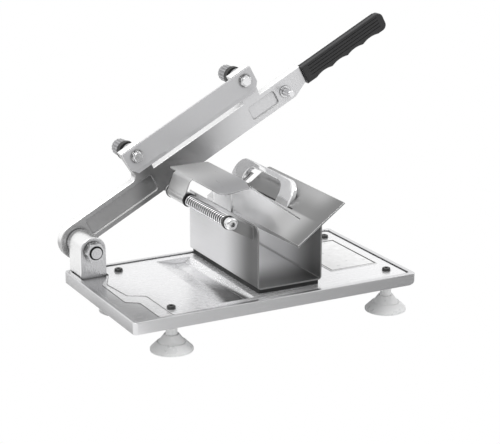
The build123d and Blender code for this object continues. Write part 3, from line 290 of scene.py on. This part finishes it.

# Hinge: the bracket's left and top faces are painted bright as painted light, and its edge lines are
# painted dark as painted shade
PAINTED_LIGHT_TONE = 0.97
bracket = steel("bracket_steel", (0.80, 0.80, 0.81), 0.26, GRAIN_Z, shade_reach=0.006, shade_tone=0.03,
                edge_tone=0.3)
bracket.cover(bracket.maths("MAXIMUM", bracket.facing(TO_LEFT), bracket.facing(UPWARD)), PAINTED_LIGHT_TONE)
spacer = steel("spacer_steel", (0.92, 0.92, 0.93), 0.2, TURNED)


def shaded_shank(start, tone):
    """Fades of a bolt that is painted dark, as painted shade, from a place behind its head to the
    arm's back.
    """
    return [Fade(TO_BACK, start - 0.0002, start + 0.0002, tone), Fade(TO_BACK, 0.110, 0.111, 0.8)]


# Pivot bolt with a dark ring of painted shade on the front of its head
RING_IN, RING_OUT = 0.0062, 0.0077
RING_AHEAD, RING_BEHIND = 0.0008, 0.0022
pivot_low, pivot_high = box_of("pivot_bolt")
pivot_middle = (pivot_low + pivot_high) / 2
pivot_steel = steel("pivot_steel", (0.85, 0.85, 0.86), 0.16, POLISHED, grain_bump=0.04,
                    fades=shaded_shank(0.059, 0.03))
off_x = pivot_steel.maths("SUBTRACT", pivot_steel.along(TO_RIGHT), pivot_middle.x)
off_z = pivot_steel.maths("SUBTRACT", pivot_steel.along(UPWARD), pivot_middle.z)
off_axis = pivot_steel.maths("SQRT", pivot_steel.maths(
    "ADD", pivot_steel.times(off_x, off_x), pivot_steel.times(off_z, off_z)))
head_front = pivot_steel.band(TO_BACK, pivot_low.y - RING_AHEAD, pivot_low.y + RING_BEHIND)
shade_ring = pivot_steel.between(off_axis, RING_IN, RING_OUT)
pivot_steel.cover(pivot_steel.times(shade_ring, head_front), 0.02)

# Arm: painted shade darkens it to the left and it is lighter again beside the pivot, and its upper
# faces are painted bright as painted light
arm_steel = steel("arm_steel", (0.70, 0.70, 0.71), 0.24, GRAIN_X, turn=ARM_TURN, smear=0.02,
                  shade_reach=0.003, metal=0.5, uneven=0.05,
                  fades=[Fade(TO_LEFT, start=-0.07, end=0.045, tone=0.17),
                         Fade(TO_LEFT, start=0.06, end=0.085, tone=0.42)])
arm_steel.cover(arm_steel.facing(ABOVE_ARM), PAINTED_LIGHT_TONE)

# Blade with its bolts and knobs
blade_steel = steel("blade_steel", (0.56, 0.56, 0.57), 0.3, (900, 900, 40), turn=ARM_TURN,
                    smear=0.01, shade_tone=0.1, metal=0.3, grain_bump=0.02, uneven=0.05)
bolt_steel = steel("bolt_steel", (0.88, 0.88, 0.89), 0.16, POLISHED, grain_bump=0.04,
                   fades=shaded_shank(0.096, 0.04))
knob = steel("knob_metal", (0.42, 0.42, 0.43), 0.34, TURNED, shade_reach=0.002, edge_tone=0.6, metal=0.6)

# Trough: painted shade darkens it to the front, its faces to the front are painted an even grey
# of shade, and those to the left are less metallic
FRONT_REACH = 0.073
trough_steel = steel("trough_steel", (0.84, 0.84, 0.85), 0.42, GRAIN_Y, grain_bump=0.02,
                     smear=0.03, metal=0.6, uneven=0.05,
                     fades=[Fade(TO_FRONT, start=-0.01, end=0.058, tone=0.13)])
trough_steel.cover(trough_steel.times(trough_steel.facing(TO_FRONT),
                                      trough_steel.band(TO_BACK, -FRONT_REACH, FRONT_REACH)), 0.26)
trough_steel.set(Metallic=trough_steel.ramp(trough_steel.facing(TO_LEFT), 0, 1, 0.6, 0.15))

# Press hood: painted light makes it lighter to the back, at the sleeve and down the web; the web's
# left face is painted bright as a painted highlight and is also more polished
WEB_REACH = 0.003
BACK_ACROSS = (-0.2, 0.98, 0)
DOWN_WEB = (1, 0, -1)
hood_steel = steel("hood_steel", (0.42, 0.42, 0.43), 0.28, GRAIN_Y, grain_bump=0.01, smear=0.02,
                   metal=0.7, uneven=0.03,
                   fades=[Fade(BACK_ACROSS, start=-0.01, end=0.05, tone=0.8),
                          Fade(TO_LEFT, start=0.0405, end=0.046, tone=0.66),
                          Fade(DOWN_WEB, start=-0.143, end=-0.136, tone=0.95)])
web = hood_steel.times(hood_steel.facing(TO_LEFT), hood_steel.band(TO_RIGHT, -WEB_REACH, WEB_REACH))
hood_steel.cover(web, PAINTED_LIGHT_TONE)
hood_steel.set(Metallic=hood_steel.ramp(web, 0, 1, 0.7, 1.0),
               Roughness=hood_steel.times(hood_steel.linked("Roughness"),
                                          hood_steel.ramp(web, 0, 1, 1, 0.3)))

# Press plate: painted shade makes it darker to the front and past the slit, painted light makes it
# lighter again up its slope, and a dark line of painted shadow runs along the slit
SLIT_ALONG = (-0.066, 0.012)
SLIT_UP = (0.0976, 0.0992)
plate_steel = steel("plate_steel", (0.95, 0.95, 0.96), 0.24, GRAIN_Y, grain_bump=0.01, smear=0.02,
                    metal=0.6, edge=0.0008, uneven=0.05,
                    fades=[Fade(TO_FRONT, start=0.01, end=0.07, tone=0.5),
                           Fade(UP_PLATE, start=0.0963, end=0.0990, tone=0.26),
                           Fade(UP_PLATE, start=0.106, end=0.128, tone=0.44),
                           Fade(TO_FRONT, start=0.085, end=0.122, tone=0.2)])
plate_steel.cover(plate_steel.times(plate_steel.band(TO_BACK, *SLIT_ALONG),
                                    plate_steel.band(UP_PLATE, *SLIT_UP)), 0.01)

# Small parts
# The guide rod's dark tone is painted shade, for the shade inside the spring
rod_steel = steel("bright_steel", (0.14, 0.14, 0.15), 0.2, (300, 300, 300), grain_bump=0.02)
fastener = steel("fastener_steel", (0.85, 0.85, 0.86), 0.16, POLISHED, grain_bump=0.04,
                 shade_reach=0.003, shade_tone=0.03)
spring = steel("spring_wire", (0.86, 0.86, 0.87), 0.14, POLISHED, grain_bump=0.02, shade_tone=0.01)
chrome = steel("handle_chrome", (0.95, 0.95, 0.96), 0.06, (200, 200, 200), grain_bump=0.01,
               metal=0.75)
rubber = plain("black_rubber", grey(0.018), 0.45)
pad = plain("pad_rubber", grey(0.014), 0.6)
nylon = plain("black_nylon", (0.02, 0.02, 0.021), 0.38)
grip = plain("grip_black", (0.016, 0.016, 0.017), 0.34, spots=90.0, bump=0.25, depth=0.0003)
dark_screw = plain("dark_screw", grey(0.03), 0.3)

USES = {
    pan: ["base_pan"],
    panel: ["top_panel"],
    label: ["label_plate"],
    cup: ["foot_front_left", "foot_front_right", "foot_back_left", "foot_back_right"],
    dark_screw: ["foot_screws"],
    bracket: ["hinge_bracket"],
    spacer: ["pivot_spacer"],
    pivot_steel: ["pivot_bolt"],
    bolt_steel: ["blade_bolts"],
    fastener: ["bracket_screws", "pivot_washer", "pivot_nut", "trough_nuts", "rod_front_nut",
               "rod_back_nut", "grip_screws", "blade_lock_nuts", "knob_left_clip", "knob_right_clip",
               "handle_screws", "stop_pin"],
    pad: ["trough_pad"],
    trough_steel: ["trough"],
    rod_steel: ["guide_rod"],
    rubber: ["rod_front_washer", "knob_left_ring", "knob_right_ring"],
    spring: ["feed_spring"],
    arm_steel: ["arm"],
    nylon: ["pivot_bush", "slide_bush_front", "slide_bush_back"],
    grip: ["grip_front", "grip_back"],
    blade_steel: ["blade"],
    knob: ["knob_left", "knob_right"],
    hood_steel: ["press_hood"],
    plate_steel: ["press_plate"],
    chrome: ["strap_handle"],
}
for paint, names in USES.items():
    for name in names:
        slots = nodes[name].data.materials
        slots.clear()
        slots.append(paint.material)


def card(name, corner, along, up, colour, seen=False, far=None):
    """A flat card of the studio, from one corner, that isn't part of the object. Its tone goes
    from colour at the corner to far at the other end of along."""
    corner, along, up = Vector(corner), Vector(along), Vector(up)
    mesh = bpy.data.meshes.new(name)
    mesh.from_pydata([corner, corner + along, corner + along + up, corner + up], [], [(0, 1, 2, 3)])
    obj = bpy.data.objects.new(name, mesh)
    bpy.context.scene.collection.objects.link(obj)
    g = Paint(name + "_paint")
    start = corner.dot(along)
    share = g.ramp(g.along(along), start, start + along.length_squared, 0, 1)
    g.set(Base_Color=g.mix(share, grey(colour), grey(colour if far is None else far)),
          Roughness=1.0, Specular_IOR_Level=0.0)
    mesh.materials.append(g.material)
    if not seen:
        obj.visible_camera = False
        obj.visible_diffuse = False
        obj.visible_shadow = False
        obj.visible_transmission = False
    return g


LAMP_TARGET = Vector((0, 0, 0.1))


def lamp(name, place, size, power):
    """A square area lamp that points at the object."""
    data = bpy.data.lights.new(name, "AREA")
    data.size = size
    data.energy = power
    obj = bpy.data.objects.new(name, data)
    obj.location = place
    obj.rotation_euler = (LAMP_TARGET - Vector(place)).to_track_quat("-Z", "Y").to_euler()
    bpy.context.scene.collection.objects.link(obj)


# A pale floor, which is plain white where the camera sees it
FLOOR_HALF = 30
FLOOR_DROP = 0.0004
floor = card("floor", (-FLOOR_HALF, -FLOOR_HALF, -FLOOR_DROP), (2 * FLOOR_HALF, 0, 0),
             (0, 2 * FLOOR_HALF, 0), colour=0.9, seen=True)
white = floor.add("ShaderNodeEmission")
floor.feed(floor.out.inputs["Surface"],
           floor.blend(floor.seen_straight(), floor.shader.outputs[0], white.outputs[0]))

# Cards that only show as mirror images on the steel
CARD_LOW = 0.0002
card("back_card", (-0.55, 0.11, CARD_LOW), (0.5, 0, 0), (0, 0.5, 0), colour=0.8)
card("left_card", (-0.215, -0.12, CARD_LOW), (0, 0.34, 0), (0.04, 0, 0), colour=0.42)
card("front_card", (-0.12, -0.32, CARD_LOW), (0.42, 0, 0), (0, 0.21, 0), colour=0.6, far=0.28)
card("far_card", (0.10, -0.36, CARD_LOW), (0.24, -0.16, 0), (-0.3, -0.45, 0), colour=0.25, far=0.95)

lamp("key", (-0.8, -0.3, 1.6), size=1.0, power=12)
lamp("fill", (1.5, -0.4, 1.3), size=0.8, power=4)

# The studio round the object: bright walls, darker behind the camera
WALL_BLUR = 0.25
world = bpy.data.worlds.new("studio")
world.use_nodes = True
sky = Tree(world.node_tree)


def wall(height, *stops):
    """A wall's grey at each height, with soft steps between the stops."""
    node = sky.add("ShaderNodeValToRGB")
    steps = node.color_ramp
    steps.interpolation = "EASE"
    while len(steps.elements) < len(stops):
        steps.elements.new(0.5)
    for element, (place, tone) in zip(steps.elements, stops):
        element.position = place
        element.color = (*grey(tone), 1)
    sky.feed(node.inputs[0], height)
    return node.outputs[0]


def glow(colour):
    """A background shader of one colour."""
    return sky.add("ShaderNodeBackground", Color=colour).outputs[0]


sky_way = sky.add("ShaderNodeSeparateXYZ", Vector=sky.add("ShaderNodeTexCoord").outputs["Generated"])
height = sky_way.outputs["Z"]
back_wall = wall(height, (0.0, 0.9), (0.30, 1.0), (0.50, 0.95), (0.85, 1.0))
front_wall = wall(height, (0.0, 0.35), (0.35, 0.5), (0.7, 0.9))
to_back = sky.ramp(sky_way.outputs["Y"], -WALL_BLUR, WALL_BLUR, 0, 1)
mirrored = sky.add("ShaderNodeLightPath").outputs["Is Glossy Ray"]
lit = sky.blend(mirrored, glow(grey(0.8)), glow(sky.mix(to_back, front_wall, back_wall)))
shown = sky.blend(sky.seen_straight(), lit, glow(grey(1)))
sky.add("ShaderNodeOutputWorld", Surface=shown)
bpy.context.scene.world = world

# The camera stands where the photo's camera stood
YAW, PITCH = math.radians(27.89), math.radians(17.0487)
LOOK = Vector((math.sin(YAW) * math.cos(PITCH), math.cos(YAW) * math.cos(PITCH), -math.sin(PITCH)))
ACROSS = Vector((math.cos(YAW), -math.sin(YAW), 0))
STAND = Vector((-0.790009, -1.516214, 0.626628))
camera_data = bpy.data.cameras.new("camera")
camera_data.sensor_width = 36
camera_data.lens = 119.72
camera_data.clip_start = 0.05
camera_data.clip_end = 100
camera = bpy.data.objects.new("camera", camera_data)
turn = Matrix((ACROSS, ACROSS.cross(LOOK), -LOOK)).transposed().to_4x4()
camera.matrix_world = Matrix.Translation(STAND) @ turn
bpy.context.scene.collection.objects.link(camera)
bpy.context.scene.camera = camera
bpy.context.scene.view_settings.view_transform = "Standard"
